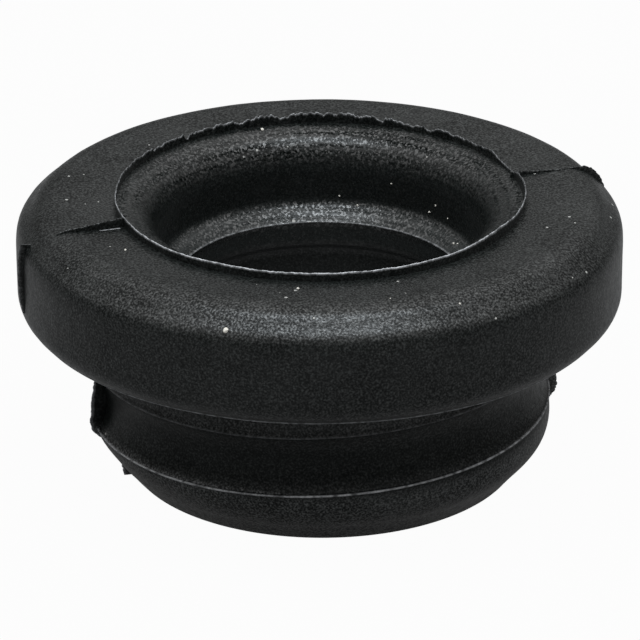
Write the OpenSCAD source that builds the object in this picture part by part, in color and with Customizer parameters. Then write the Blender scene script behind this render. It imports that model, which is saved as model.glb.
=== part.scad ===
// Moulded rubber sealing ring: a thick round-shouldered flange above a grooved neck and a tapered lower lip,
// with a rounded mouth and a sealing lip inside the bore. Millimetres, +Z up.
// The origin is on the ring's axis, in the plane that the lower lip stands on.
// The flash of the mould lies in the XZ plane.

/* [Overall] */
// Outside diameter of the flange
flange_d = 30; // [26:0.1:45]
// Height from the foot of the lower lip to the land of the flange
total_h = 13.8; // [12.5:0.1:24]

/* [Flange] */
// Thickness of the flange, from its flat underside to its land
flange_t = 5.4; // [4.2:0.1:7]
// Radius of the outer shoulder of the flange
shoulder_r = 2.1; // [1:0.05:2.6]
// Radius of the round under the flange's outside wall
under_r = 1.2; // [0.4:0.05:1.5]
// Arc of that round, from the wall down to the sharp lower edge
under_arc = 60; // [20:1:80]
// How far the top sinks from the land to the mouth
dish = 0.2; // [0:0.05:0.6]

/* [Bore] */
// Diameter inside the sealing lip, which grips the stem
lip_bore_d = 14.2; // [11.8:0.1:17]
// How far the bore wall above the lip stands back from it
upper_step = 1; // [0.5:0.05:1.3]
// How far the bore wall below the lip stands back from it
lower_step = 0.5; // [0:0.05:0.8]
// Radius of the rounded mouth
mouth_r = 1.9; // [0.8:0.05:2.3]
// Depth of the sealing lip's edge below the land
lip_depth = 4.3; // [3.6:0.1:7]
// Radius of the lip's rounded upper side
lip_round_r = 1.9; // [1.6:0.05:2.4]
// Steepness of the lip's round at its inner edge
lip_edge_angle = 53; // [50:1:60]
// Height of the straight land inside the lip
lip_land = 1.2; // [0.5:0.1:2]
// Chamfer at the foot of the bore
foot_chamfer = 0.4; // [0:0.05:0.6]

/* [Neck] */
// Diameter of the collar and of the lower lip's sharp rib
rib_d = 23; // [20:0.1:26]
// Height of the panel groove, which is the thickness of the panel that it takes
groove_h = 2.2; // [1:0.1:2.4]
// How deep the panel groove is cut behind the collar
groove_depth = 0.3; // [0.2:0.05:1.2]
// Straight height of the collar below the groove
collar_h = 0.3; // [0.2:0.05:0.9]
// How deep the hollow waist is cut between the collar and the rib
waist_depth = 0.5; // [0.2:0.05:0.8]

/* [Lower lip] */
// Height of the sharp rib above the foot
rib_z = 3.1; // [2.6:0.1:3.8]
// Radius of the lip's outside below the rib
lead_r = 3; // [2:0.1:3.2]
// Steepness of the taper that leads the lip into its hole
lead_angle = 45; // [35:1:50]

/* [Flash] */
// Thickness of the flash left by the mould
flash_t = 0.16; // [0.1:0.02:0.4]
// How far the flash stands off the parting line
flash_h = 0.5; // [0.2:0.05:0.8]
// Height of the thin wall of flash around the mouth
mouth_flash_h = 0.45; // [0.1:0.05:0.8]

/* [Hidden] */
$fn = 96;

flange_r = flange_d / 2;
underside_z = total_h - flange_t;
lip_bore_r = lip_bore_d / 2;
upper_bore_r = lip_bore_r + upper_step;
lower_bore_r = lip_bore_r + lower_step;
rib_r = rib_d / 2;
groove_r = rib_r - groove_depth;
collar_top_z = underside_z - groove_h;
waist_top_z = collar_top_z - collar_h;

// Shoulder and mouth rounds, and the straight land that touches both
shoulder = [flange_r - shoulder_r, total_h - shoulder_r];
mouth = [upper_bore_r + mouth_r, total_h - dish - mouth_r];
span = shoulder - mouth;
land_normal = atan2(span.y, span.x) + asin((shoulder_r - mouth_r) / norm(span)) + 90;
mouth_top_z = mouth.y + mouth_r;

// Round under the flange's outside wall
under = [flange_r - under_r, underside_z + under_r * sin(under_arc)];

// Round on the upper side of the sealing lip, from the bore wall to the lip's edge
lip_z = total_h - lip_depth;
lip_centre = [lip_bore_r + lip_round_r * sin(lip_edge_angle), lip_z - lip_round_r * cos(lip_edge_angle)];
lip_wall_angle = asin((lip_centre.x - upper_bore_r) / lip_round_r);
lip_wall_z = lip_centre.y + lip_round_r * cos(lip_wall_angle);

// Round outside the lower lip, and the taper that runs on from it to the foot
lead = [rib_r - lead_r, rib_z];
taper_top = lead + lead_r * [cos(lead_angle), -sin(lead_angle)];
foot_r = taper_top.x - taper_top.y * tan(lead_angle);
foot_edge = min(foot_chamfer, (foot_r - lower_bore_r) / 2);

// Hollow waist: one arc through the collar's lower edge and the rib
waist_span = waist_top_z - rib_z;
waist_cut = min(waist_depth, waist_span / 2);
waist_r = (waist_span * waist_span / 4 + waist_cut * waist_cut) / (2 * waist_cut);
waist = [rib_r - waist_cut + waist_r, rib_z + waist_span / 2];

function on_round(centre, radius, angle) = centre + radius * [cos(angle), sin(angle)];

// The part of a disc that lies inside the box between two corners
module disc_within(centre, radius, low, high) {
    intersection() {
        translate(centre) circle(r = radius);
        translate(low) square(high - low);
    }
}

// Section of the ring with its rounds as straight chords
module chord_section() {
    polygon([
        [lower_bore_r + foot_edge, 0],
        [foot_r, 0],
        taper_top,
        [rib_r, rib_z],
        [rib_r, collar_top_z],
        [groove_r, collar_top_z],
        [groove_r, underside_z],
        on_round(under, under_r, -under_arc),
        [flange_r, under.y],
        [flange_r, shoulder.y],
        on_round(shoulder, shoulder_r, land_normal),
        on_round(mouth, mouth_r, land_normal),
        [upper_bore_r, mouth.y],
        [upper_bore_r, lip_wall_z],
        [lip_bore_r, lip_z],
        [lip_bore_r, lip_z - lip_land],
        [lower_bore_r, lip_z - lip_land - (lower_bore_r - lip_bore_r)],
        [lower_bore_r, foot_edge],
    ]);
}

// The whole section: the chords are filled out to true arcs, and the waist is cut
module ring_section() {
    difference() {
        union() {
            chord_section();
            disc_within(under, under_r, [upper_bore_r, underside_z], [flange_r, total_h]);
            disc_within(shoulder, shoulder_r, [upper_bore_r, underside_z], [flange_r, total_h]);
            disc_within(mouth, mouth_r, [upper_bore_r, underside_z], [flange_r, total_h]);
            disc_within(lip_centre, lip_round_r, [lip_bore_r, lip_z - lip_land], [lip_centre.x, mouth.y]);
            disc_within(lead, lead_r, [rib_r - lead_r / 2, 0], [rib_r, rib_z]);
        }
        disc_within(waist, waist_r, [lower_bore_r, rib_z - waist_cut], [flange_r, waist_top_z + waist_cut]);
    }
}

module ring_body() {
    color([0.16, 0.165, 0.165]) rotate_extrude() ring_section();
}

// Thin wall of flash that stands around the mouth, where the core met the cavity
module mouth_flash() {
    color([0.2, 0.2, 0.2]) rotate_extrude()
        translate([mouth.x, mouth_top_z - mouth_r / 4]) square([flash_t, mouth_flash_h + mouth_r / 4]);
}

// Flash in the parting plane of the two cavity halves, on one side of the ring
module parting_flash() {
    color([0.2, 0.2, 0.2]) rotate([90, 0, 0]) linear_extrude(flash_t, center = true) {
        polygon([
            [mouth.x, mouth_top_z - mouth_r / 4],
            [mouth.x, mouth_top_z + mouth_flash_h],
            [shoulder.x, total_h],
            [shoulder.x, total_h - shoulder_r],
        ]);
        polygon([
            [shoulder.x, under.y],
            [flange_r + flash_h, under.y],
            [flange_r + flash_h, shoulder.y + shoulder_r / 2],
            [shoulder.x, shoulder.y + shoulder_r / 2],
        ]);
        polygon([
            [groove_r - flash_h, underside_z + flash_h],
            [rib_r + flash_h, underside_z + flash_h],
            [rib_r + flash_h, rib_z - flash_h],
            on_round(lead, lead_r - flash_h, -lead_angle),
            lead,
            [groove_r - flash_h, rib_z],
        ]);
    }
}

module sealing_ring() {
    union() {
        ring_body();
        mouth_flash();
        for (side = [0, 180]) rotate([0, 0, side]) parting_flash();
    }
}

sealing_ring();
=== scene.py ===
"""A moulded black rubber sealing ring, standing on its lower lip on a pale table.

The ring is one piece of rubber. The body comes first, then the flash that its mould left on it, the dust
on it, the table in its tent of light, the lamp and the camera.
"""
import math

import bmesh
import bpy
from mathutils import Matrix, Vector
from mathutils.bvhtree import BVHTree


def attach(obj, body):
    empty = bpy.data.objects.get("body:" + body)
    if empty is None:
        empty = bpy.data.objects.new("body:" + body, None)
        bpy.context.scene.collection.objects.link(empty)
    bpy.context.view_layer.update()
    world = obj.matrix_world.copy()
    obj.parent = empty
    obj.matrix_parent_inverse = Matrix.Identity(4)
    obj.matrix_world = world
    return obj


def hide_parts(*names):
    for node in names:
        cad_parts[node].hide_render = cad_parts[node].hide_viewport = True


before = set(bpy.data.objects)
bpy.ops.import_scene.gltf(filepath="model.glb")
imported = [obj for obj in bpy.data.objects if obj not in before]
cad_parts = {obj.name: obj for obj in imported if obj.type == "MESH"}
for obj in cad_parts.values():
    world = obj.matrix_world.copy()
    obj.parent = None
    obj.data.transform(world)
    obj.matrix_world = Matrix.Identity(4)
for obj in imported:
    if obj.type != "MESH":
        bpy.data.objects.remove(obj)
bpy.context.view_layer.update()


# ---- Rubber --------------------------------------------------------------------------------------------
# Black rubber from a steel mould. The surface is matte, with a fine grain from the mould's blasted wall,
# soft patches where the mould was smoother, and specks of dust, most on what faces up. Light and shade are
# also painted in: painted shade on the hollow waist, painted light on the lower lip and in the bore, and
# painted highlights along the raised lines and the torn edges of the flash.

MM = 0.001
# How far apart the marks of each kind are, and the depth of the relief
GRAIN = 0.1 * MM
PITS = 0.33 * MM
PATCHES = 3.6 * MM
HIGHLIGHT_PATCHES = 0.3 * MM
LATHE_RINGS = 0.2 * MM
RING_CHANGE = 0.3 * MM
BRIGHT_SPOTS = 0.15 * MM
DUST_CELL = 0.8 * MM
RELIEF_DEPTH = 0.012 * MM
DEEP_BLACK = (0.0013, 0.0019, 0.0017, 1)
WORN_BLACK = (0.0216, 0.0252, 0.0242, 1)
PAINTED_LIGHT_GREY = (0.135, 0.145, 0.144, 1)
HIGHLIGHT_GREY = (0.7, 0.715, 0.74, 1)
SPECK_GREY = (0.4, 0.4, 0.38, 1)


class Wiring:
    """Short ways to add nodes to one tree and to join them."""

    def __init__(self, tree):
        self.tree = tree

    def put(self, socket, value):
        if isinstance(value, bpy.types.NodeSocket):
            self.tree.links.new(value, socket)
        else:
            socket.default_value = value

    def node(self, kind, settings=None, **values):
        made = self.tree.nodes.new(kind)
        for key, value in (settings or {}).items():
            setattr(made, key, value)
        for key, value in values.items():
            self.put(made.inputs[key.replace("_", " ")], value)
        return made

    def maths(self, operation, *values):
        made = self.node("ShaderNodeMath", {"operation": operation})
        for socket, value in zip(made.inputs, values):
            self.put(socket, value)
        return made.outputs[0]

    def vectors(self, operation, *values):
        made = self.node("ShaderNodeVectorMath", {"operation": operation})
        for socket, value in zip(made.inputs, values):
            self.put(socket, value)
        return made.outputs["Value" if operation in ("DOT_PRODUCT", "LENGTH") else "Vector"]

    def point(self, x, y, z):
        return self.node("ShaderNodeCombineXYZ", X=x, Y=y, Z=z).outputs[0]

    def parts(self, vector):
        return self.node("ShaderNodeSeparateXYZ", Vector=vector).outputs

    def between(self, value, low, high, new_low, new_high):
        """The value moved from one range to another, and held inside it."""
        made = self.node("ShaderNodeMapRange", Value=value)
        for label, number in (("From Min", low), ("From Max", high),
                              ("To Min", new_low), ("To Max", new_high)):
            self.put(made.inputs[label], number)
        return made.outputs["Result"]

    def mixed(self, share, first, second):
        made = self.node("ShaderNodeMix", {"data_type": "RGBA"}, Factor=share, A=first, B=second)
        return made.outputs["Result"]


def black_rubber():
    material = bpy.data.materials.new("black_rubber")
    material.use_nodes = True
    w = Wiring(material.node_tree)
    shader = material.node_tree.nodes["Principled BSDF"]
    place = w.node("ShaderNodeTexCoord").outputs["Object"]

    def clouds(size, detail, roughness=0.5, where=place):
        return w.node("ShaderNodeTexNoise", Vector=where, Scale=1 / size, Detail=detail,
                      Roughness=roughness).outputs["Fac"]

    def changed(value, zone, change):
        """The value, raised or lowered by a share of itself inside one zone."""
        return w.maths("MULTIPLY", value, w.maths("MULTIPLY_ADD", zone, change, 1))

    # The grain and the patches mottle every part of the surface, in its colour and in its shine alike
    patches = w.between(clouds(PATCHES, 3, 0.6), 0.3, 0.7, -0.09, 0.09)
    speckle = w.between(clouds(GRAIN, 1), 0.27, 0.73, 0, 1)
    shade = w.maths("ADD", w.maths("POWER", speckle, 2), patches)

    # Painted shade: the hollow waist under the flange has its shine lowered and its grain softened. Painted
    # light: the lower lip below the rib has its shine raised and its grain strengthened. The grain also
    # stands out most on what faces up
    facing_up = w.parts(w.node("ShaderNodeNewGeometry").outputs["Normal"])["Z"]
    where = w.parts(place)
    height = where["Z"]
    radius = w.vectors("LENGTH", w.vectors("MULTIPLY", place, (1, 1, 0)))
    # Painted shade: the hollow waist, shaded by the flange above it
    waist = w.maths("MULTIPLY", w.between(height, 3.0 * MM, 3.2 * MM, 0, 1),
                    w.between(height, 5.0 * MM, 6.3 * MM, 1, 0))
    # Painted light: the lower lip below the rib, made brighter for the light of the table that it faces
    painted_light_lip = w.between(height, 2.6 * MM, 3.0 * MM, 1, 0)
    contrast = changed(changed(w.between(facing_up, 0, 0.8, 0.65, 1.0), waist, -0.2), painted_light_lip, 0.6)
    middle = 0.3
    shade = w.maths("MULTIPLY_ADD", w.maths("SUBTRACT", shade, middle), contrast, middle)
    colour = w.mixed(shade, DEEP_BLACK, WORN_BLACK)
    # The shine is lowered on the waist for painted shade and raised on the lower lip for painted light
    shine = changed(changed(w.between(shade, 0, 1, 0.13, 1), waist, -0.6), painted_light_lip, 0.3)

    # Painted light: grey is mixed into the lower lip's colour, and into the sealing lip and the bore below
    # it
    painted_light = w.maths("MULTIPLY", painted_light_lip, w.between(shade, 0, 1, 0.03, 0.3))
    painted_light = w.maths("MAXIMUM", painted_light, w.between(radius, 7.6 * MM, 8.2 * MM, 0.12, 0))
    colour = w.mixed(painted_light, colour, PAINTED_LIGHT_GREY)

    # The core that made the bore was turned on a lathe: fine rings that change slowly on their way round,
    # and small bright spots between them
    cored = w.maths("MULTIPLY", w.between(radius, 9.9 * MM, 10.1 * MM, 1, 0),
                    w.between(height, 8.4 * MM, 8.7 * MM, 0, 1))
    angle = w.maths("ARCTAN2", where["Y"], where["X"])
    along = w.point(radius, w.maths("MULTIPLY", angle, RING_CHANGE), height)
    rings = w.between(clouds(LATHE_RINGS, 2, where=along), 0.35, 0.65, -0.06, 0.24)
    spots = w.between(clouds(BRIGHT_SPOTS, 1), 0.56, 0.62, 0, 1.3)
    shine = w.maths("ADD", changed(shine, cored, -0.62), w.maths("MULTIPLY", rings, cored))
    shine = w.maths("ADD", shine, w.maths("MULTIPLY", spots, cored))
    w.put(shader.inputs["Specular IOR Level"], w.maths("MINIMUM", shine, 1))

    # Painted highlight: a pale grey is mixed into the colour along the torn edges of the flash and along
    # the raised lines that the mould left
    painted_highlight = w.node("ShaderNodeAttribute", {"attribute_name": "painted_highlight"}).outputs["Fac"]
    highlight_share = w.maths("MULTIPLY", painted_highlight, w.between(clouds(HIGHLIGHT_PATCHES, 3), 0.35, 0.65, 0.3, 1.5))
    colour = w.mixed(highlight_share, colour, HIGHLIGHT_GREY)

    # Dust: in some cells of a random pattern there is one pale speck, more often where they face up
    cells = w.node("ShaderNodeTexVoronoi", Vector=place, Scale=1 / DUST_CELL).outputs
    chance = w.node("ShaderNodeSeparateColor", Color=cells["Color"]).outputs
    likely = w.maths("MULTIPLY", chance[0], w.between(facing_up, 0, 0.6, 0.5, 1))
    in_speck = w.maths("LESS_THAN", cells["Distance"], w.between(chance[1], 0, 1, 0.045, 0.12))
    speck = w.maths("MULTIPLY", in_speck, w.maths("GREATER_THAN", likely, 0.65))
    w.put(shader.inputs["Base Color"], w.mixed(speck, colour, SPECK_GREY))

    pits = clouds(PITS, 2)
    roughness = w.between(pits, 0.35, 0.65, 0.28, 0.38)
    roughness = w.maths("SUBTRACT", roughness, w.maths("MULTIPLY", cored, 0.03))
    w.put(shader.inputs["Roughness"], roughness)
    relief = w.maths("ADD", clouds(GRAIN, 2), w.maths("MULTIPLY", pits, 0.8))
    bump = w.node("ShaderNodeBump", Strength=1, Distance=RELIEF_DEPTH, Height=relief)
    w.put(shader.inputs["Normal"], bump.outputs["Normal"])
    return material


rubber = black_rubber()


# ---- Ring body -----------------------------------------------------------------------------------------
# The whole moulded ring: flange, panel groove, collar, hollow waist, sharp rib, tapered lower lip, bore
# and sealing lip. It is one section swept round the axis, a little out of true where the rubber shrank.

FLANGE_R = 15.0 * MM
LAND_Z = 13.88 * MM
UNDERSIDE_Z = 8.4 * MM
SHOULDER_R = 2.1 * MM
UNDER_ROUND_R = 1.2 * MM
UNDER_ROUND_ARC = 60
DISH = 0.2 * MM
MOUTH_R = 1.9 * MM
UPPER_BORE_R = 8.02 * MM
LIP_BORE_R = 7.1 * MM
LIP_Z = 9.52 * MM
LIP_ROUND_R = 1.9 * MM
LIP_EDGE_ARC = 53
LIP_LAND = 1.2 * MM
LOWER_BORE_R = 7.6 * MM
FOOT_CHAMFER = 0.4 * MM
FOOT_R = 9.82 * MM
RIB_R = 11.5 * MM
GROOVE_R = 11.46 * MM
COLLAR_TOP_Z = 6.2 * MM
WAIST_DEPTH = 0.5 * MM
RIB_Z = 3.1 * MM
LEAD_R = 3.0 * MM
LEAD_ARC = 45
# Reach of the small round on a sharp edge, and how far a raised mould line stands proud of one
EDGE_R = 0.07 * MM
RIDGE = 0.06 * MM
# How much the hand-finished rounds swell and shrink, as a share of their radius
SWELL = 0.028
LUMP_SIZE = 3.5 * MM
# An arc has a point at every step. A longer stretch than the longest is split, and points that are closer
# than the weld are one
ARC_STEP = 0.16 * MM
LONGEST = 0.35 * MM
WELD = 0.001 * MM


def on_round(centre, radius, angle):
    return Vector((centre[0] + radius * math.cos(math.radians(angle)),
                   centre[1] + radius * math.sin(math.radians(angle))))


def arc(centre, radius, start, end):
    """Points round an arc from angle start to angle end, in degrees, about one step apart."""
    count = max(2, math.ceil(math.radians(abs(end - start)) * radius / ARC_STEP))
    return [on_round(centre, radius, start + (end - start) * n / count) for n in range(count + 1)]


def shaped_arc(centre, radius, start, end, middle, swell):
    """Points round an arc whose radius swells and shrinks about a middle angle."""
    points = []
    for point in arc(centre, radius, start, end):
        angle = math.degrees(math.atan2(point.y - centre.y, point.x - centre.x))
        off = (angle - middle) / min(abs(start - middle), abs(end - middle))
        window = math.cos(math.pi / 2 * off) ** 2 if abs(off) < 1 else 0
        wave = swell * math.sin(math.radians(5 * (angle - middle))) * window
        points.append(centre + (point - centre) * (1 + wave))
    return points


def blended(before, corner, after):
    """A smooth hollow in place of a corner."""
    steps = 6
    points = []
    for n in range(steps + 1):
        first, second = before.lerp(corner, n / steps), corner.lerp(after, n / steps)
        points.append(first.lerp(second, n / steps))
    return points


def eased(before, corner, after, proud=0):
    """A small round in place of a corner, or a fine raised line that stands proud of it."""
    corner, before, after = Vector(corner), Vector(before), Vector(after)
    into, out = (before - corner).normalized(), (after - corner).normalized()
    tip = corner - (into + out).normalized() * proud
    middle = [tip + into * EDGE_R * 0.4, tip + out * EDGE_R * 0.4]
    return [corner + into * EDGE_R, *middle, corner + out * EDGE_R]


def ring_outline():
    """The section of the ring as a closed line of (radius, height), from the foot and outwards, and the
    points of it that lie on a raised line, each with how much painted highlight the line carries."""
    raised = []

    # A raised line also carries a share of painted highlight
    def line_along(before, corner, after, highlight_share):
        points = eased(before, corner, after, RIDGE)
        raised.extend((point, highlight_share) for point in points[1:-1])
        return points

    shoulder = Vector((FLANGE_R - SHOULDER_R, LAND_Z - SHOULDER_R))
    mouth = Vector((UPPER_BORE_R + MOUTH_R, LAND_Z - DISH - MOUTH_R))
    under = Vector((FLANGE_R - UNDER_ROUND_R,
                    UNDERSIDE_Z + UNDER_ROUND_R * math.sin(math.radians(UNDER_ROUND_ARC))))
    span = shoulder - mouth
    land = math.degrees(math.atan2(span.y, span.x) + math.asin((SHOULDER_R - MOUTH_R) / span.length)) + 90
    lead = Vector((RIB_R - LEAD_R, RIB_Z))
    lead_arc = arc(lead, LEAD_R, -LEAD_ARC, 0)
    waist_span = COLLAR_TOP_Z - RIB_Z
    waist_r = (waist_span ** 2 / 4 + WAIST_DEPTH ** 2) / (2 * WAIST_DEPTH)
    waist_half = math.degrees(math.asin(waist_span / 2 / waist_r))
    waist = Vector((RIB_R - WAIST_DEPTH + waist_r, RIB_Z + waist_span / 2))
    waist_arc = arc(waist, waist_r, 180 + waist_half, 180 - waist_half)
    lip = Vector((LIP_BORE_R, LIP_Z)) - LIP_ROUND_R * on_round((0, 0), 1, 90 + LIP_EDGE_ARC)
    lip_wall = math.degrees(math.acos((UPPER_BORE_R - lip.x) / LIP_ROUND_R))
    lip_arc = arc(lip, LIP_ROUND_R, lip_wall, 90 + LIP_EDGE_ARC)
    inner_foot = Vector((LOWER_BORE_R + FOOT_CHAMFER, 0))
    collar_top = Vector((RIB_R, COLLAR_TOP_Z))
    groove_high = Vector((GROOVE_R, UNDERSIDE_Z))
    under_arc = arc(under, UNDER_ROUND_R, -UNDER_ROUND_ARC, 0)
    lower = [inner_foot, *eased(inner_foot, (FOOT_R, 0), lead_arc[0])]
    lower += lead_arc[:-1]
    lower += line_along(lower[-1], (RIB_R, RIB_Z), waist_arc[1], 0.4)
    lower += waist_arc[1:-1]
    lower += line_along(waist_arc[-2], collar_top, groove_high, 0.1)
    lower += [groove_high]
    upper = line_along(groove_high, under_arc[0], under_arc[1], 0.4)
    upper += under_arc[1:]
    upper += shaped_arc(shoulder, SHOULDER_R, 0, land, 35, -1.6 * SWELL)
    upper += shaped_arc(mouth, MOUTH_R, land, 180, 120, 0.5 * SWELL)
    upper += blended(Vector((UPPER_BORE_R, lip_arc[0].y + 0.35 * MM)), lip_arc[0], lip_arc[3])
    upper += lip_arc[4:-1]
    upper += line_along(lip_arc[-2], lip_arc[-1], (LIP_BORE_R, LIP_Z - LIP_LAND), 0.2)
    upper += [Vector((LIP_BORE_R, LIP_Z - LIP_LAND))]
    upper += [Vector((LOWER_BORE_R, LIP_Z - LIP_LAND - (LOWER_BORE_R - LIP_BORE_R)))]
    upper += [Vector((LOWER_BORE_R, FOOT_CHAMFER))]
    return lower + upper, raised


def spread_out(points, longest):
    """The same closed line, with points added so that no stretch is longer than the longest."""
    out = []
    for a, b in zip(points, points[1:] + points[:1]):
        count = max(1, math.ceil((b - a).length / longest))
        out += [a.lerp(b, n / count) for n in range(count)]
    return out


class TreeWiring(Wiring):
    """A new tree for geometry with the named inputs and results, and short ways to add to it."""

    def __init__(self, name, inputs, results=(("Geometry", "Geometry"),)):
        super().__init__(bpy.data.node_groups.new(name, "GeometryNodeTree"))
        for in_out, sockets in (("INPUT", inputs), ("OUTPUT", results)):
            for label, kind in sockets:
                self.tree.interface.new_socket(label, in_out=in_out, socket_type="NodeSocket" + kind)
        self.given = self.node("NodeGroupInput").outputs

    def scaled(self, vector, size):
        made = self.node("ShaderNodeVectorMath", {"operation": "SCALE"}, Vector=vector, Scale=size)
        return made.outputs[0]

    def fade(self, value, start, end):
        """A smooth step from 0 at start to 1 at end."""
        made = self.node("ShaderNodeMapRange", {"interpolation_type": "SMOOTHSTEP"}, Value=value)
        self.put(made.inputs["From Min"], start)
        self.put(made.inputs["From Max"], end)
        return made.outputs["Result"]

    def clouds(self, vector, size, seed, detail):
        """Noise about 0 to 1 in lumps of a given size."""
        return self.node("ShaderNodeTexNoise", {"noise_dimensions": "4D"}, Vector=vector, W=seed,
                         Scale=1 / size, Detail=detail).outputs[0]

    def lumps(self, vector, size, seed, detail, height):
        """Noise about 0: hollows and lumps of up to half the height."""
        level = self.maths("SUBTRACT", self.clouds(vector, size, seed, detail), 0.5)
        return self.maths("MULTIPLY", level, height)

    def position(self):
        return self.node("GeometryNodeInputPosition").outputs[0]

    def pushed(self, geometry, distance):
        """The geometry with its surface moved out along its normals."""
        push = self.scaled(self.node("GeometryNodeInputNormal").outputs[0], distance)
        return self.node("GeometryNodeSetPosition", Geometry=geometry, Offset=push).outputs[0]

    def finish(self, geometry, material):
        whole = self.node("GeometryNodeRealizeInstances", Geometry=geometry)
        painted = self.node("GeometryNodeSetMaterial", Geometry=whole.outputs[0], Material=material)
        end = self.node("NodeGroupOutput")
        self.put(end.inputs[0], painted.outputs[0])
        return self.tree


TRUE_INPUTS = [("Neck Tilt", "Float"), ("Lip Shift", "Float"), ("Low Side", "Vector"),
               ("Mouth Rise", "Float"), ("Far Side", "Vector")]


def out_of_true():
    """How the cured ring departs from its mould: the neck is tilted, the lower lip is shifted to one side,
    and the mouth stands a little higher on its far side."""
    w = TreeWiring("out_of_true", [("Position", "Vector"), *TRUE_INPUTS], [("Position", "Vector")])
    place = w.given["Position"]
    z = w.parts(place)["Z"]
    radius = w.vectors("LENGTH", w.vectors("MULTIPLY", place, (1, 1, 0)))
    # The tilt has its full size from the collar down to the rib, and fades to nothing at the foot
    share = w.maths("MULTIPLY", w.fade(z, UNDERSIDE_Z, COLLAR_TOP_Z), w.between(z, 0.0, RIB_Z, 0.0, 1.0))
    low = w.vectors("DOT_PRODUCT", place, w.given["Low Side"])
    drop = w.maths("MULTIPLY", w.maths("MULTIPLY", low, w.given["Neck Tilt"]), share)
    # The lower lip is shifted most at its widest, and half as much at the foot
    shift = w.maths("MULTIPLY", w.fade(z, RIB_Z, RIB_Z / 2), w.given["Lip Shift"])
    shift = w.maths("MULTIPLY", shift, w.maths("MULTIPLY_ADD", w.fade(z, 0.0, RIB_Z / 2), 0.5, 0.5))
    # The mouth rises from nothing on the near side to its full rise on the far side
    far = w.maths("DIVIDE", w.vectors("DOT_PRODUCT", place, w.given["Far Side"]), radius)
    around = w.maths("MULTIPLY_ADD", far, 0.5, 0.5)
    at_mouth = w.maths("MULTIPLY", w.fade(radius, FLANGE_R - SHOULDER_R, UPPER_BORE_R + MOUTH_R),
                       w.fade(z, LAND_Z - 3 * MM, LAND_Z - MM))
    rise = w.maths("MULTIPLY", w.maths("MULTIPLY", around, at_mouth), w.given["Mouth Rise"])
    moved = w.vectors("SUBTRACT", place, w.scaled(w.given["Low Side"], shift))
    part = w.parts(w.vectors("ADD", moved, w.point(0.0, 0.0, w.maths("SUBTRACT", rise, drop))))
    end = w.node("NodeGroupOutput")
    w.put(end.inputs[0], w.point(part["X"], part["Y"], w.maths("MAXIMUM", part["Z"], 0.0)))
    return w.tree


warp = out_of_true()


def warped(w, place):
    """The place after the ring went out of true, in a tree that has the same inputs."""
    made = w.node("GeometryNodeGroup", {"node_tree": warp}, Position=place)
    for label, kind in TRUE_INPUTS:
        w.put(made.inputs[label], w.given[label])
    return made.outputs[0]


def ring_tree():
    """Sweeps the section's outline round the axis, moves it out of true and makes it a little uneven."""
    w = TreeWiring("moulded_ring", [("Geometry", "Geometry"), ("Steps", "Int"), *TRUE_INPUTS,
                                    ("Unevenness", "Float"), ("Seed", "Float"), ("Rubber", "Material")])
    points = w.node("GeometryNodeAttributeDomainSize", Geometry=w.given["Geometry"]).outputs[0]
    rows = w.maths("ADD", points, 1)
    columns = w.maths("ADD", w.given["Steps"], 1)
    grid = w.node("GeometryNodeMeshGrid", Vertices_X=columns, Vertices_Y=rows).outputs["Mesh"]
    index = w.node("GeometryNodeInputIndex").outputs[0]
    column = w.maths("FLOOR", w.maths("DIVIDE", w.maths("ADD", index, 0.5), rows))
    row = w.maths("MODULO", w.maths("SUBTRACT", index, w.maths("MULTIPLY", column, rows)), points)
    turn = w.maths("MULTIPLY", w.maths("DIVIDE", column, w.given["Steps"]), math.tau)
    sample = w.node("GeometryNodeSampleIndex", {"data_type": "FLOAT_VECTOR"}, Geometry=w.given["Geometry"],
                    Value=w.position(), Index=row)
    part = w.parts(sample.outputs[0])
    place = w.point(w.maths("MULTIPLY", part["X"], w.maths("COSINE", turn)),
                    w.maths("MULTIPLY", part["X"], w.maths("SINE", turn)), part["Z"])
    # The share of painted highlight is carried round with the section
    painted_highlight = w.node("GeometryNodeInputNamedAttribute", Name="painted_highlight").outputs[0]
    painted_highlight = w.node("GeometryNodeSampleIndex", {"data_type": "FLOAT"}, Geometry=w.given["Geometry"],
                  Value=painted_highlight, Index=row)
    marked = w.node("GeometryNodeStoreNamedAttribute", {"data_type": "FLOAT", "domain": "POINT"},
                    Geometry=grid, Name="painted_highlight", Value=painted_highlight.outputs[0]).outputs[0]
    swept = w.node("GeometryNodeSetPosition", Geometry=marked, Position=warped(w, place)).outputs[0]
    welded = w.node("GeometryNodeMergeByDistance", Geometry=swept, Distance=WELD).outputs[0]
    # Low lumps and hollows a few millimetres across, which fade at the foot so that it stands flat
    here = w.position()
    height = w.maths("MULTIPLY", w.given["Unevenness"], w.fade(w.parts(here)["Z"], 0.0, MM))
    uneven = w.pushed(welded, w.lumps(here, LUMP_SIZE, w.given["Seed"], 3.0, height))
    smooth = w.node("GeometryNodeSetShadeSmooth", Geometry=uneven).outputs[0]
    return w.finish(smooth, w.given["Rubber"])


def run_tree(name, mesh, tree, values):
    """A plain mesh object made by a tree from a start mesh. The inputs are set by their identifiers."""
    start = bpy.data.objects.new(name + "_start", mesh)
    bpy.context.collection.objects.link(start)
    modifier = start.modifiers.new("tree", "NODES")
    modifier.node_group = tree
    for socket in tree.interface.items_tree:
        if socket.in_out == "INPUT" and socket.name in values:
            modifier[socket.identifier] = values[socket.name]
    ready = start.evaluated_get(bpy.context.evaluated_depsgraph_get())
    made = bpy.data.objects.new(name, bpy.data.meshes.new_from_object(ready))
    made.data.name = name
    bpy.data.objects.remove(start)
    bpy.context.collection.objects.link(made)
    faces = bmesh.new()
    faces.from_mesh(made.data)
    bmesh.ops.recalc_face_normals(faces, faces=faces.faces)
    faces.to_mesh(made.data)
    faces.free()
    return made


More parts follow.
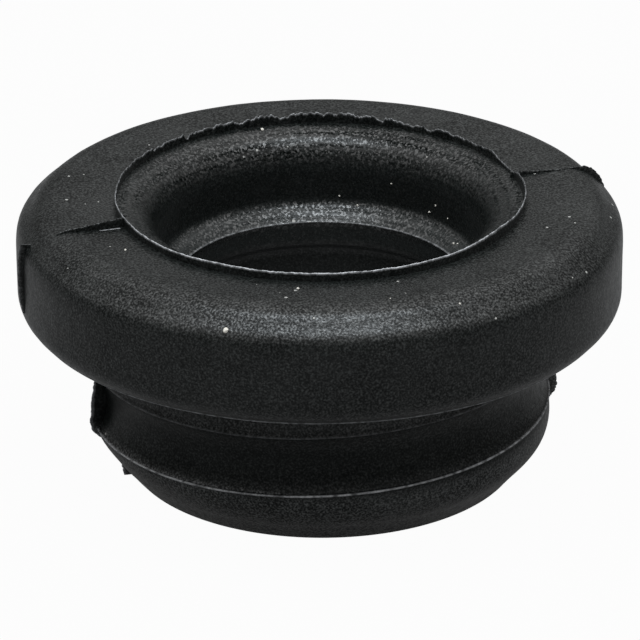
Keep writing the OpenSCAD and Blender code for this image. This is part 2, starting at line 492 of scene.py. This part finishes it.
# The ring is looked at from this far to the left of its front. Its neck and lower lip went out of true
# across that view, and its mouth along it
VIEW_TURN = math.radians(15.7)
OUT_OF_TRUE = {
    "Neck Tilt": math.tan(math.radians(2.0)),
    "Lip Shift": 0.3 * MM,
    "Low Side": (-math.cos(VIEW_TURN), math.sin(VIEW_TURN), 0.0),
    "Mouth Rise": 0.17 * MM,
    "Far Side": (math.sin(VIEW_TURN), math.cos(VIEW_TURN), 0.0),
}
outline, raised_points = ring_outline()
outline = spread_out(outline, LONGEST)
section = bpy.data.meshes.new("ring_section")
section.from_pydata([(p.x, 0, p.y) for p in outline], [], [])
# Each point on a raised line keeps that line's share of painted highlight
painted_highlight_values = section.attributes.new("painted_highlight", "FLOAT", "POINT").data
for value, point in zip(painted_highlight_values, outline):
    on_line = (highlight_share for other, highlight_share in raised_points if (point - other).length < WELD)
    value.value = max(on_line, default=0)
ring = run_tree("rubber_ring", section, ring_tree(), {
    **OUT_OF_TRUE, "Steps": 600, "Unevenness": 0.06 * MM, "Seed": 4.0, "Rubber": rubber})
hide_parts("sealing_ring")
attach(ring, "root")


# ---- Mouth flash ---------------------------------------------------------------------------------------
# A thin wall of waste rubber that stands round the mouth, squeezed up between the core and the cavity. It
# was torn off by hand, so its top edge is ragged and it leans one way and then the other.

MOUTH_FLASH_R = 10.05 * MM
MOUTH_FLASH_H = 0.46 * MM
MOUTH_FLASH_T = 0.13 * MM
FLASH_SUNK = 0.25 * MM
MOUTH_STATIONS = 1440
TEAR_SIZE = 0.7 * MM
NICK_SIZE = 0.16 * MM
SWAY_SIZE = 1.1 * MM
FLASH_WELD = 0.0005 * MM
# Sides of the mouth, each a direction in degrees and a half width: where the wall leans out, where it is
# most ragged, where it is thin and its edge carries the most painted highlight, and where its far rim
# carries a little painted highlight
LEANING = (345, 30)
MOST_RAGGED = (75, 120)
THIN_AND_HIGHLIGHTED = (250, 110)
HIGHLIGHTED_FAR_RIM = (78, 70)
# Long stretches that stand higher or lower: direction in degrees, half width, change of height
STRETCHES = [(80, 50, 0.13), (128, 30, 0.05), (205, 20, -0.06), (312, 20, 0.16), (345, 16, 0.1)]
# Tears down into the wall: direction in degrees, half width, depth
TEARS = [(5, 9, 0.26), (23, 3, 0.14), (40, 2, 0.24), (47, 3, 0.16), (56, 1.6, 0.22), (85, 3.5, 0.2),
         (98.5, 1.6, 0.2), (116.5, 1.4, 0.3), (127, 1.2, 0.16), (130.5, 1.0, 0.16), (165, 6, 0.12)]


def flash_tree():
    """A thin strip from a root line to an edge line, round on its edge, torn and leaning by noise. Around
    is 1 for a strip that closes on itself, and 0 for one with two ends."""
    w = TreeWiring("moulding_flash", [
        ("Geometry", "Geometry"), ("Around", "Int"), ("Thickness", "Float"), ("Tear Depth", "Float"),
        ("Nick Depth", "Float"), ("Lean", "Float"), ("Seed", "Float"), *TRUE_INPUTS,
        ("Rubber", "Material")])
    profile = 14
    points = w.node("GeometryNodeAttributeDomainSize", Geometry=w.given["Geometry"]).outputs[0]
    columns = w.maths("ADD", points, w.given["Around"])
    grid = w.node("GeometryNodeMeshGrid", Vertices_X=columns, Vertices_Y=profile + 1).outputs["Mesh"]
    index = w.node("GeometryNodeInputIndex").outputs[0]
    column = w.maths("FLOOR", w.maths("DIVIDE", w.maths("ADD", index, 0.5), profile + 1))
    row = w.maths("SUBTRACT", index, w.maths("MULTIPLY", column, profile + 1))
    station = w.maths("MODULO", column, points)
    turn = w.maths("MULTIPLY", w.maths("DIVIDE", w.maths("MODULO", row, profile), profile), math.tau)

    def read(value):
        return w.node("GeometryNodeSampleIndex", {"data_type": "FLOAT_VECTOR"},
                      Geometry=w.given["Geometry"], Value=value, Index=station).outputs[0]

    def named(label):
        return w.node("GeometryNodeInputNamedAttribute", {"data_type": "FLOAT_VECTOR"},
                      Name=label).outputs[0]

    def boxed(value, power):
        """The value raised to a power with its sign kept, which makes a rounded box of a circle."""
        size = w.maths("POWER", w.maths("ABSOLUTE", value), power)
        return w.maths("MULTIPLY", w.maths("SIGN", value), size)

    def noise(size):
        return w.clouds(edge, size, w.given["Seed"], 2.0)

    root = read(w.position())
    edge = read(named("edge"))
    side = read(named("side"))
    state = w.parts(read(named("state")))
    level = w.maths("MULTIPLY_ADD", boxed(w.maths("SINE", turn), 0.5), 0.5, 0.5)
    across = boxed(w.maths("COSINE", turn), 0.6)
    half = w.maths("MULTIPLY", w.maths("MULTIPLY_ADD", level, -0.3, 1.0),
                   w.maths("MULTIPLY", w.given["Thickness"], 0.5))
    # Noise tears and nicks the edge, and makes the strip sway from side to side, most at its edge
    tears = w.maths("MULTIPLY", w.fade(noise(TEAR_SIZE), 0.47, 0.6), w.given["Tear Depth"])
    nicks = w.maths("MULTIPLY", w.fade(noise(NICK_SIZE), 0.4, 0.7), w.given["Nick Depth"])
    kept = w.maths("SUBTRACT", 1.0, w.maths("MULTIPLY", w.maths("ADD", tears, nicks), state["X"]))
    sway = w.lumps(edge, SWAY_SIZE, w.given["Seed"], 2.0, w.given["Lean"])
    sway = w.maths("MULTIPLY", sway, w.maths("MULTIPLY", level, level))
    up = w.scaled(w.vectors("SUBTRACT", edge, root), w.maths("MULTIPLY", level, kept))
    place = w.vectors("ADD", root, up)
    place = w.vectors("ADD", place, w.scaled(side, w.maths("MULTIPLY_ADD", across, half, sway)))
    # Painted highlight along the top of the edge, as much as the state gives
    painted_highlight = w.maths("MULTIPLY", w.fade(level, 0.9, 0.99), state["Y"])
    marked = w.node("GeometryNodeStoreNamedAttribute", {"data_type": "FLOAT", "domain": "POINT"},
                    Geometry=grid, Name="painted_highlight", Value=painted_highlight).outputs[0]
    strip = w.node("GeometryNodeSetPosition", Geometry=marked, Position=warped(w, place)).outputs[0]
    welded = w.node("GeometryNodeMergeByDistance", Geometry=strip, Distance=FLASH_WELD).outputs[0]
    smooth = w.node("GeometryNodeSetShadeSmooth", Geometry=welded).outputs[0]
    return w.finish(smooth, w.given["Rubber"])


flash = flash_tree()


def flash_strip(name, stations, values):
    """A flash piece from its stations: a root point, an edge point, a direction across and its state,
    which is how ragged the edge is and how much painted highlight lies on it."""
    mesh = bpy.data.meshes.new(name + "_stations")
    mesh.from_pydata([station[0] for station in stations], [], [])
    for label, column in (("edge", 1), ("side", 2), ("state", 3)):
        values_in = mesh.attributes.new(label, "FLOAT_VECTOR", "POINT").data
        for place, station in zip(values_in, stations):
            place.vector = station[column]
    made = run_tree(name, mesh, flash, {**OUT_OF_TRUE, "Rubber": rubber, **values})
    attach(made, "root")


def bump_at(direction, centre, half_width):
    """1 at the centre of a stretch, easing to 0 at its half width, round a circle in degrees."""
    off = abs((direction - centre + 180) % 360 - 180) / half_width
    return (1 + math.cos(math.pi * off)) / 2 if off < 1 else 0


def mouth_station(direction):
    """One station of the wall of flash round the mouth, at a direction in degrees."""
    out = Vector((math.cos(math.radians(direction)), math.sin(math.radians(direction)), 0))
    tall = MOUTH_FLASH_H
    tall += sum(change * MM * bump_at(direction, centre, half) for centre, half, change in STRETCHES)
    tall -= sum(depth * MM * bump_at(direction, centre, half) ** 0.5 for centre, half, depth in TEARS)
    base = LAND_Z - DISH
    root = out * MOUTH_FLASH_R + Vector((0, 0, base - FLASH_SUNK))
    lean = 0.22 * bump_at(direction, *LEANING)
    edge = out * (MOUTH_FLASH_R + lean * tall) + Vector((0, 0, base + tall))
    ragged = 0.2 + 0.8 * bump_at(direction, *MOST_RAGGED)
    # Painted highlight on the edge: most on the side towards the camera, a little on the far rim
    highlight_share = 0.12 + 0.88 * bump_at(direction, *THIN_AND_HIGHLIGHTED) + 0.2 * bump_at(direction, *HIGHLIGHTED_FAR_RIM)
    thickness = 1 - 0.4 * bump_at(direction, *THIN_AND_HIGHLIGHTED)
    return root, edge, out * thickness, Vector((ragged, highlight_share, 0))


mouth_stations = [mouth_station(360 * n / MOUTH_STATIONS) for n in range(MOUTH_STATIONS)]
flash_strip("mouth_flash", mouth_stations, {
    "Around": 1, "Thickness": MOUTH_FLASH_T, "Tear Depth": 0.12, "Nick Depth": 0.16, "Lean": 0.22 * MM,
    "Seed": 2.0})


# ---- Parting flash -------------------------------------------------------------------------------------
# Fins and tabs of waste rubber in the plane where the two halves of the cavity met, at both ends of the
# ring. They stand tall beside the mouth, and on the wall and neck where the halves did not close tight. On
# the left one fin leans out of that plane, with a low ridge at its foot that carries painted highlight.

FIN_T = 0.15 * MM
# In millimetres: the spacing of a fin's stations, and then for each fin the line that it is rooted along
# and its outline, as (radius, height)
STATION_STEP = 0.05
LEFT_TOP = ([(10.1, 13.4), (10.6, 13.4), (11.8, 13.4), (12.8, 13.4), (13.3, 13.4), (13.8, 13.2)],
            [(10.1, 14.18), (10.6, 14.17), (11.8, 14.1), (12.8, 14.03), (13.3, 13.96), (13.8, 13.7)])
LEFT_RIDGE = ([(10.35, 13.4), (11.4, 13.4)], [(10.35, 13.75), (11.4, 13.8)])
LEFT_WALL = ([(14.2, 13.0), (14.3, 12.8), (14.4, 12.0), (14.4, 11.2), (14.4, 10.2), (14.3, 9.5),
              (14.2, 9.2)],
             [(15.1, 13.12), (15.18, 12.8), (15.24, 12.0), (15.27, 11.2), (15.22, 10.2), (15.1, 9.5),
              (14.85, 9.1)])
LEFT_NECK = ([(10.9, 8.3), (10.9, 5.8), (10.9, 5.3), (10.7, 4.7), (10.7, 4.1), (10.9, 3.6), (10.8, 3.1),
              (10.6, 2.6), (10.2, 2.1), (9.9, 1.6), (9.6, 0.95), (9.4, 0.5), (9.2, 0.0)],
             [(11.6, 8.3), (11.6, 5.8), (11.73, 5.3), (11.8, 4.7), (11.86, 4.1), (11.93, 3.6),
              (11.85, 3.07), (11.5, 2.57), (11.05, 2.1), (10.78, 1.6), (10.62, 0.95), (10.55, 0.5),
              (10.4, 0.0)])
RIGHT_TOP = ([(9.9, 13.3), (10.8, 13.3), (12.0, 13.3), (13.0, 13.2), (13.4, 13.1), (13.6, 13.0),
              (13.8, 12.9), (13.9, 12.7), (14.0, 12.5), (14.1, 12.3), (14.1, 12.1), (14.2, 11.8)],
             [(9.9, 13.98), (10.8, 13.93), (12.0, 13.93), (13.0, 13.93), (13.5, 13.98), (13.85, 13.96),
              (14.16, 13.84), (14.45, 13.58), (14.7, 13.24), (14.88, 12.84), (14.98, 12.4), (14.9, 11.8)])
RIGHT_NECK = ([(10.9, 8.3), (10.9, 5.0), (10.8, 3.3), (10.6, 2.6), (10.3, 2.1), (9.9, 1.6), (9.7, 1.0),
               (9.5, 0.6)],
              [(12.1, 8.3), (12.2, 5.0), (12.35, 3.3), (12.4, 2.4), (12.35, 1.8), (12.1, 1.3), (11.3, 0.9),
               (10.2, 0.6)])


def fin_stations(rooted, outline, side_x, turn, highlight_share):
    """Stations along a fin, with its two ends closed inside the ring. The fin is on the side where X is 1
    or -1, and is turned from there by an angle in degrees."""
    stations = []
    count = len(outline) - 1
    for n in range(count):
        steps = max(2, math.ceil((Vector(outline[n + 1]) - Vector(outline[n])).length / STATION_STEP))
        for k in range(steps + (n == count - 1)):
            root = Vector(rooted[n]).lerp(Vector(rooted[n + 1]), k / steps)
            edge = Vector(outline[n]).lerp(Vector(outline[n + 1]), k / steps)
            stations.append((root, edge))
    stations = [(stations[0][0], stations[0][0]), *stations, (stations[-1][0], stations[-1][0])]
    turned = Matrix.Rotation(math.radians(turn), 3, "Z")

    def placed(point):
        return turned @ Vector((side_x * point.x, 0, point.y)) * MM

    return [(placed(root), placed(edge), turned @ Vector((0, 1, 0)), Vector((1, highlight_share, 0)))
            for root, edge in stations]


# Name, shape, side, turn in degrees, how much painted highlight lies on the edge, and seed
FINS = [
    ("fin_left_top", LEFT_TOP, -1, 4.2, 0, 5.0),
    ("fin_left_ridge", LEFT_RIDGE, -1, 5.4, 0.4, 10.0),
    ("fin_left_wall", LEFT_WALL, -1, 0, 0.1, 6.0),
    ("fin_left_neck", LEFT_NECK, -1, 0, 0.6, 7.0),
    ("fin_right_top", RIGHT_TOP, 1, 0, 0, 8.0),
    ("fin_right_neck", RIGHT_NECK, 1, 0, 0.1, 9.0),
]
for name, (rooted, outline_points), side_x, turn, highlight_share, seed in FINS:
    flash_strip(name, fin_stations(rooted, outline_points, side_x, turn, highlight_share), {
        "Around": 0, "Thickness": FIN_T, "Tear Depth": 0.02, "Nick Depth": 0.05, "Lean": 0.1 * MM,
        "Seed": seed})


# ---- Dust ----------------------------------------------------------------------------------------------
# Loose grains of pale dust, the largest a quarter of a millimetre. Some lie on the flange and the lip, and
# some hang on the wall of the bore.

# Grains that lie on the ring: direction in degrees, radius and size in millimetres
LYING = [(237, 14.65, 0.26), (92, 9.6, 0.16), (249, 11.1, 0.12), (282, 14.0, 0.1), (269, 12.9, 0.08),
         (199, 11.3, 0.1), (60, 7.9, 0.1), (10, 7.5, 0.12), (8, 7.6, 0.09)]
# Grains on the wall of the bore: direction in degrees, height and size in millimetres
HANGING = [(30, 10.6, 0.1), (27, 11.1, 0.09), (20, 10.7, 0.09), (67, 10.6, 0.08), (47, 11.6, 0.07)]
GRAIN_LUMP_SIZE = 0.12 * MM
GRAIN_LUMP_HEIGHT = 0.12 * MM
# A height above the whole ring, in millimetres
ABOVE_RING = 16


def dust_tree():
    """A lumpy grain on every point of the start mesh, each of its own size."""
    w = TreeWiring("dust_grains", [("Geometry", "Geometry"), ("Lumps", "Float"), ("Seed", "Float"),
                                   ("Dust", "Material")])
    ball = w.node("GeometryNodeMeshIcoSphere", Radius=0.5, Subdivisions=2).outputs[0]
    size = w.node("GeometryNodeInputNamedAttribute", Name="size").outputs[0]
    points = w.node("GeometryNodeMeshToPoints", Mesh=w.given["Geometry"]).outputs[0]
    grains = w.node("GeometryNodeInstanceOnPoints", Points=points, Instance=ball,
                    Scale=w.point(size, size, size)).outputs[0]
    whole = w.node("GeometryNodeRealizeInstances", Geometry=grains).outputs[0]
    lumps = w.lumps(w.position(), GRAIN_LUMP_SIZE, w.given["Seed"], 1.0, w.given["Lumps"])
    return w.finish(w.pushed(whole, lumps), w.given["Dust"])


def grain_spot(direction, radius, height, way):
    """Where a straight line, down or out from a start point given in millimetres, meets the ring."""
    turn = math.radians(direction)
    out = Vector((math.cos(turn), math.sin(turn), 0))
    start = out * radius * MM + Vector((0, 0, height * MM))
    return ring_surface.ray_cast(start, out if way == "out" else Vector((0, 0, -1)))[0]


ring_faces = bmesh.new()
ring_faces.from_mesh(ring.data)
ring_surface = BVHTree.FromBMesh(ring_faces)
spots = [grain_spot(direction, radius, ABOVE_RING, "down") for direction, radius, size in LYING]
spots += [grain_spot(direction, 0, height, "out") for direction, height, size in HANGING]
ring_faces.free()
grain_points = bpy.data.meshes.new("grain_points")
grain_points.from_pydata(spots, [], [])
grain_sizes = grain_points.attributes.new("size", "FLOAT", "POINT").data
for value, grain in zip(grain_sizes, LYING + HANGING):
    value.value = grain[2] * MM

grain_paint = bpy.data.materials.new("pale_dust")
grain_paint.use_nodes = True
grain_shader = grain_paint.node_tree.nodes["Principled BSDF"]
grain_shader.inputs["Base Color"].default_value = (0.8, 0.77, 0.7, 1)
grain_shader.inputs["Roughness"].default_value = 0.9
dust = run_tree("dust", grain_points, dust_tree(), {
    "Lumps": GRAIN_LUMP_HEIGHT, "Seed": 3.0, "Dust": grain_paint})
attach(dust, "root")


# ---- Table and tent ------------------------------------------------------------------------------------
# A plain sheet that the ring stands on, inside a tent of white cloth that glows softly: dim at its foot and
# brighter overhead and towards its two sides. The camera sees both as white.

TABLE_SIZE = 1.2
TABLE_GREY = (0.19, 0.19, 0.19, 1)
# How much of the sheet shows as plain white, seen directly and mirrored. The rest is shaded
WHITE_TO_CAMERA = 0.97
WHITE_IN_SHINE = 0.1
# Light of the tent at its foot, and how it grows overhead and towards the sides
TENT_FOOT = 0.135
TENT_OVERHEAD = 1.57
TENT_POWER = 2.5
TENT_SIDES = 0.17


def table_paint():
    material = bpy.data.materials.new("white_table")
    material.use_nodes = True
    w = Wiring(material.node_tree)
    shader = material.node_tree.nodes["Principled BSDF"]
    shader.inputs["Base Color"].default_value = TABLE_GREY
    shader.inputs["Roughness"].default_value = 0.9
    shader.inputs["Specular IOR Level"].default_value = 0.1
    glow = w.node("ShaderNodeEmission", Strength=1)
    ray = w.node("ShaderNodeLightPath").outputs
    bounced = w.maths("MAXIMUM", ray["Is Glossy Ray"], ray["Is Transmission Ray"])
    bounced = w.maths("MULTIPLY", bounced, WHITE_IN_SHINE)
    mix = w.node("ShaderNodeMixShader")
    w.put(mix.inputs[0], w.maths("MULTIPLY_ADD", ray["Is Camera Ray"], WHITE_TO_CAMERA, bounced))
    w.put(mix.inputs[1], shader.outputs[0])
    w.put(mix.inputs[2], glow.outputs[0])
    w.put(material.node_tree.nodes["Material Output"].inputs["Surface"], mix.outputs[0])
    return material


half = TABLE_SIZE / 2
table_mesh = bpy.data.meshes.new("table")
table_mesh.from_pydata([(-half, -half, 0), (half, -half, 0), (half, half, 0), (-half, half, 0)], [],
                       [(0, 1, 2, 3)])
table_mesh.materials.append(table_paint())
table = bpy.data.objects.new("table", table_mesh)
bpy.context.collection.objects.link(table)

world = bpy.context.scene.world or bpy.data.worlds.new("room")
bpy.context.scene.world = world
world.use_nodes = True
tent = Wiring(world.node_tree)
way = tent.parts(tent.node("ShaderNodeTexCoord").outputs["Generated"])
slope = tent.maths("MULTIPLY_ADD", tent.maths("ABSOLUTE", way["X"]), TENT_SIDES, way["Z"])
overhead = tent.maths("POWER", tent.maths("MAXIMUM", slope, 0), TENT_POWER)
glow = tent.maths("MULTIPLY_ADD", overhead, TENT_OVERHEAD, TENT_FOOT)
seen = tent.node("ShaderNodeLightPath").outputs["Is Camera Ray"]
cloth = world.node_tree.nodes["Background"]
cloth.inputs["Color"].default_value = (1, 1, 1, 1)
tent.put(cloth.inputs["Strength"], tent.maths("MAXIMUM", glow, seen))


# ---- Lamp ----------------------------------------------------------------------------------------------
# One soft box above the ring and a little in front of it, which lays the broad highlight on the near
# shoulder. It is wider than it is deep.

lamp = bpy.data.lights.new("top_box", "AREA")
lamp.shape = "RECTANGLE"
lamp.size = 0.36
lamp.size_y = 0.14
lamp.energy = 1
lamp.color = (0.85, 0.94, 1.0)
top_box = bpy.data.objects.new("top_box", lamp)
top_box.location = (-0.0235, -0.0836, 0.492)
top_box.rotation_euler = (-top_box.location).to_track_quat("-Z", "Y").to_euler()
bpy.context.collection.objects.link(top_box)


# ---- Camera --------------------------------------------------------------------------------------------
# Looks down at the ring from its front, a little from the left, through a long lens. The flash at both
# ends of the parting plane is in view.

CAMERA_DISTANCE = 0.2
CAMERA_HEIGHT = math.radians(24.2)
CAMERA_ROLL = math.radians(0.24)
AIM = Vector((0, 0, 7.185 * MM))
camera = bpy.data.objects.new("camera", bpy.data.cameras.new("camera"))
camera.data.lens = 225
camera.data.sensor_width = 36
back = Vector((-math.sin(VIEW_TURN) * math.cos(CAMERA_HEIGHT),
               -math.cos(VIEW_TURN) * math.cos(CAMERA_HEIGHT),
               math.sin(CAMERA_HEIGHT)))
camera.location = AIM + back * CAMERA_DISTANCE
camera.rotation_euler = ((-back).to_track_quat("-Z", "Y").to_matrix()
                         @ Matrix.Rotation(-CAMERA_ROLL, 3, "Z")).to_euler()
camera.data.shift_x = 0.0001
camera.data.clip_start = 0.01
bpy.context.collection.objects.link(camera)
bpy.context.scene.camera = camera
bpy.context.scene.view_settings.view_transform = "Standard"
